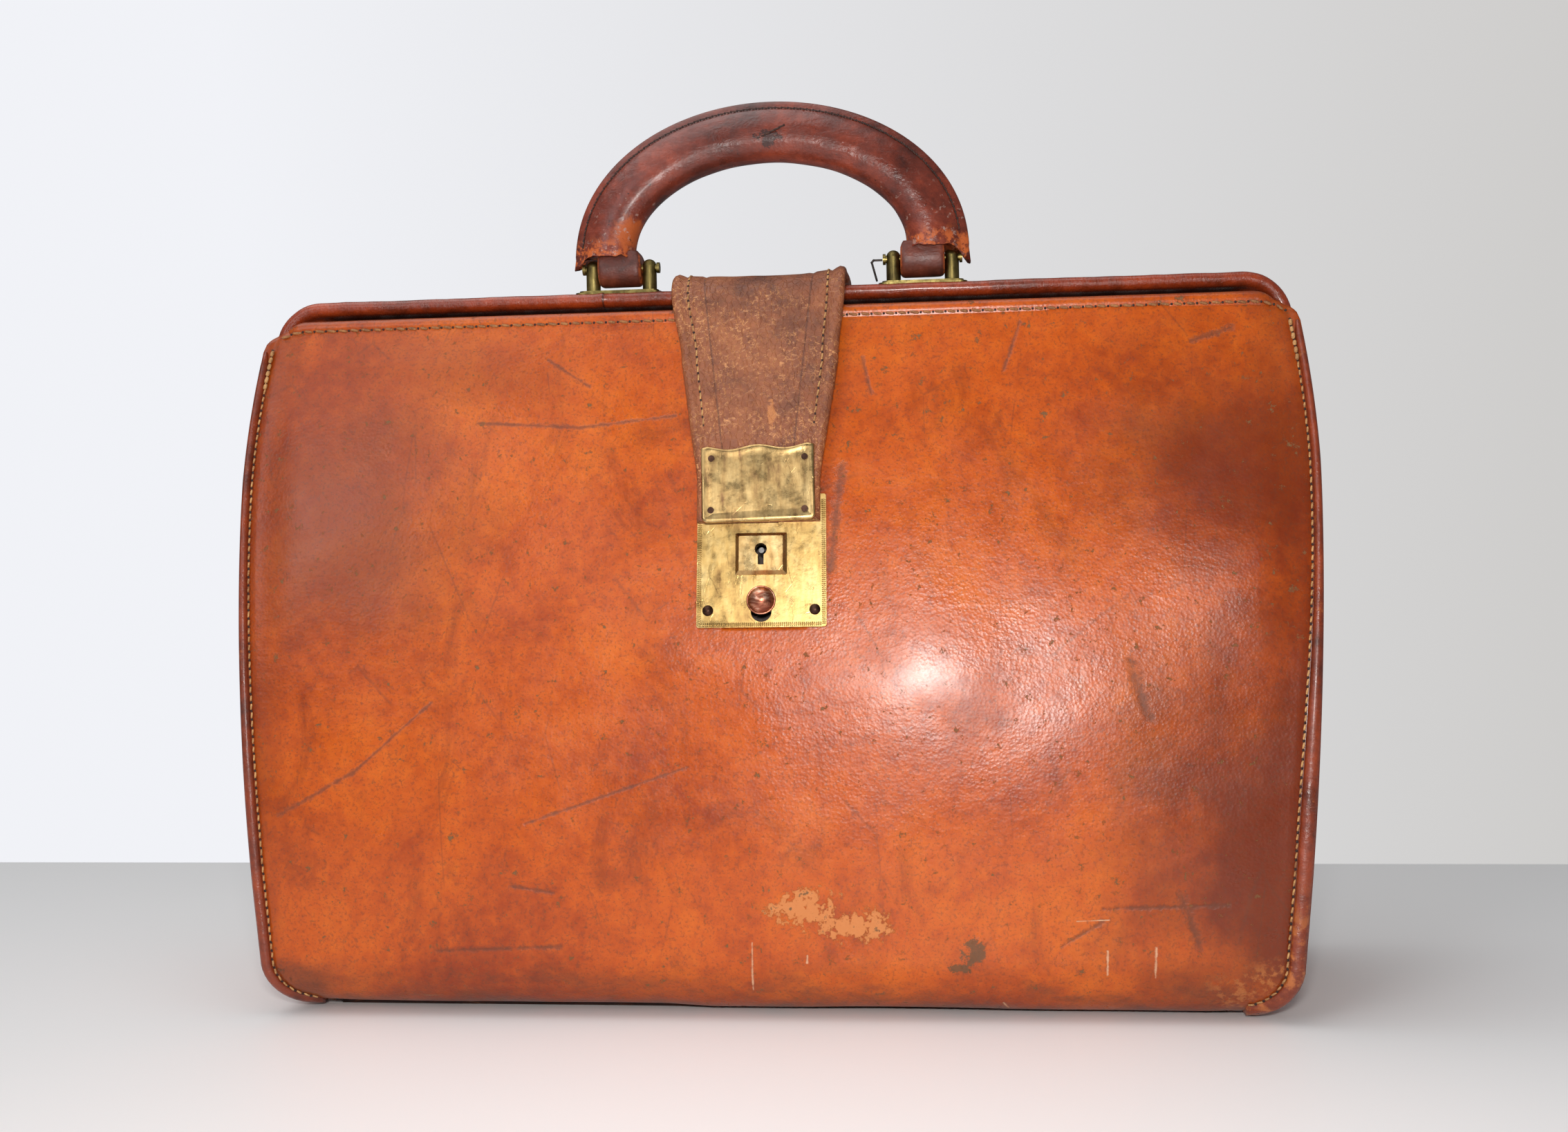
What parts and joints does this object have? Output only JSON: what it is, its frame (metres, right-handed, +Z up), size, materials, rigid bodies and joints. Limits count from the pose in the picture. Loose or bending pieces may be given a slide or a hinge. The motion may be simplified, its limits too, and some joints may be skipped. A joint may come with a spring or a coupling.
{
  "type": "doctor bag",
  "caption": "Leather doctor bag with a hinged front jaw, arched carrying handle, strap over the rail with a brass hasp, and a key lock.",
  "frame": {"origin": "centre of the base, on the surface that the bag stands on", "axes": "+X along the bag to its right, +Y to its back, +Z up"},
  "size_m": [0.432, 0.1276, 0.3718],
  "materials": {
    "tan_leather": "worn satin",
    "dark_leather": "worn semi-gloss",
    "handle_leather": "polished by the hand",
    "strap_leather": "dry and crackled",
    "fibreboard": "matte",
    "lining": "matte",
    "brass": "tarnished",
    "old_brass": "dull antique",
    "copper": "worn polish",
    "steel": "dull"
  },
  "bodies": {
    "case": {"base_board": "fibreboard", "base_leather": "dark_leather", "front_panel": "tan_leather", "back_panel": "tan_leather", "gusset_left": "tan_leather", "gusset_right": "tan_leather", "gusset_top_left": "tan_leather", "gusset_top_right": "tan_leather", "welt_front_left": "dark_leather", "welt_front_right": "dark_leather", "welt_back_left": "dark_leather", "welt_back_right": "dark_leather", "lining": "lining", "rear_frame": "steel", "rear_rail": "dark_leather", "frame_hinge_pins": "old_brass", "corner_tabs": "dark_leather", "lock_plate": "brass", "keyhole_boss": "brass", "key_post": "steel", "lock_case": "steel", "lock_rivets": "old_brass", "lock_backing_plate": "steel", "slider_spring": "steel", "chape_plate_left": "old_brass", "chape_plate_right": "old_brass", "chape_posts_left": "old_brass", "chape_posts_right": "old_brass", "chape_nuts": "steel", "handle_pin_left": "old_brass", "handle_pin_right": "old_brass", "bent_wire": "steel", "strap_back": "strap_leather", "strap_anchor_rivets": "old_brass"},
    "front_jaw": {"front_frame": "steel", "front_binding": "tan_leather", "front_panel_top": "tan_leather", "welt_front_top": "dark_leather"},
    "handle": {"handle_grip": "handle_leather", "handle_core": "steel", "handle_loop_left": "handle_leather", "handle_loop_right": "handle_leather"},
    "strap": {"strap_front": "strap_leather"},
    "hasp": {"strap_end": "strap_leather", "hasp_plate": "brass", "hasp_rivets": "steel", "hasp_staple": "brass"},
    "button": {"lock_button": "copper", "lock_slider": "brass", "catch_spring": "steel"},
    "key_bolt_slide": {"key_bolt": "steel"}
  },
  "joints": [
    {"name": "jaw_open", "type": "hinge", "parent": "case", "child": "front_jaw", "pos_m": [0, 0.005, 0.218], "axis": [1, 0, 0], "range_deg": [0, 55], "deforming": ["front_panel_top", "welt_front_top", "gusset_top_left", "gusset_top_right", "strap_front"]},
    {"name": "handle_swing", "type": "hinge", "parent": "case", "child": "handle", "pos_m": [0, 0.005, 0.304], "axis": [-1, 0, 0], "range_deg": [-90, 90]},
    {"name": "strap_lift", "type": "hinge", "parent": "case", "child": "strap", "pos_m": [0, -0.0105, 0.2812], "axis": [-1, 0, 0], "range_deg": [0, 70.5], "deforming": ["strap_front", "catch_spring"]},
    {"name": "hasp_lift", "type": "hinge", "parent": "strap", "child": "hasp", "pos_m": [0, -0.04172, 0.22312], "axis": [-1, 0, 0], "range_deg": [0, 30], "deforming": ["strap_front", "catch_spring"]},
    {"name": "button_slide", "type": "slide", "parent": "case", "child": "button", "axis": [0, -0.205, -0.9788], "range_m": [0, 0.004], "stiffness_N_per_m": 150, "deforming": ["slider_spring"]},
    {"name": "key_bolt_slide", "type": "slide", "parent": "case", "child": "key_bolt_slide", "axis": [1, 0, 0], "range_m": [-0.003, 0]}
  ],
  "couplings": [
    {"joint": "strap_lift", "follows": "jaw_open", "ratio": 1.2727}
  ]
}
